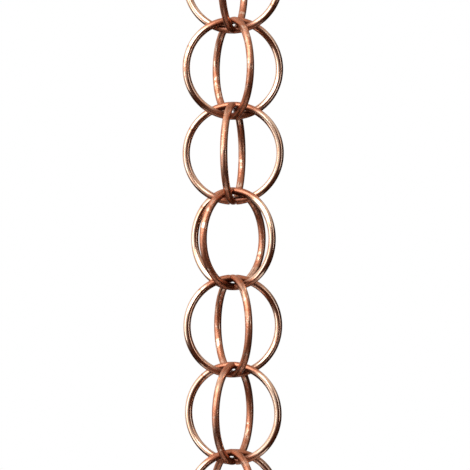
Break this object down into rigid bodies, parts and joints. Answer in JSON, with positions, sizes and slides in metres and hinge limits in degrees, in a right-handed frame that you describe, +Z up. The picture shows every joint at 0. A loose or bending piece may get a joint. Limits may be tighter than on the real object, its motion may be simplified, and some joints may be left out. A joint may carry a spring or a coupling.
{
  "type": "rain chain",
  "caption": "Rain chain of copper wire links, each two crossed rings that hang in the link above, that leads roof water down from a gutter outlet.",
  "frame": {"origin": "hanging point: the underside of the first link's top crossing, where a hook bears", "axes": "+Z up along the chain's axis, -Y the front, +X to the right seen from the front"},
  "size_m": [0.0574, 0.0574, 0.3519],
  "materials": {
    "copper": "bright drawn copper wire, lightly tarnished to brown"
  },
  "bodies": {
    "level_one": {"level_one_lower_ring": "copper", "level_one_upper_ring": "copper"},
    "level_two": {"level_two_lower_ring": "copper", "level_two_upper_ring": "copper"},
    "level_three": {"level_three_lower_ring": "copper", "level_three_upper_ring": "copper"},
    "level_four": {"level_four_lower_ring": "copper", "level_four_upper_ring": "copper"},
    "level_five": {"level_five_lower_ring": "copper", "level_five_upper_ring": "copper"},
    "level_six": {"level_six_lower_ring": "copper", "level_six_upper_ring": "copper"},
    "level_seven": {"level_seven_lower_ring": "copper", "level_seven_upper_ring": "copper"}
  },
  "joints": [
    {"name": "swing_two", "type": "hinge", "parent": "level_one", "child": "level_two", "pos_m": [0, 0, -0.04941], "axis": [0.6884, 0.7254, 0], "range_deg": [-6, 6]},
    {"name": "swing_three", "type": "hinge", "parent": "level_two", "child": "level_three", "pos_m": [0, 0, -0.09788], "axis": [0.7431, -0.6691, 0], "range_deg": [-6, 6]},
    {"name": "swing_four", "type": "hinge", "parent": "level_three", "child": "level_four", "pos_m": [0, 0, -0.14613], "axis": [0.9336, 0.3584, 0], "range_deg": [-6, 6]},
    {"name": "swing_five", "type": "hinge", "parent": "level_four", "child": "level_five", "pos_m": [0, 0, -0.19503], "axis": [0.165, 0.9863, 0], "range_deg": [-6, 6]},
    {"name": "swing_six", "type": "hinge", "parent": "level_five", "child": "level_six", "pos_m": [0, 0, -0.24443], "axis": [0.6884, -0.7254, 0], "range_deg": [-6, 6]},
    {"name": "swing_seven", "type": "hinge", "parent": "level_six", "child": "level_seven", "pos_m": [0, 0, -0.29383], "axis": [0.9997, 0.0262, 0], "range_deg": [-6, 6]}
  ]
}
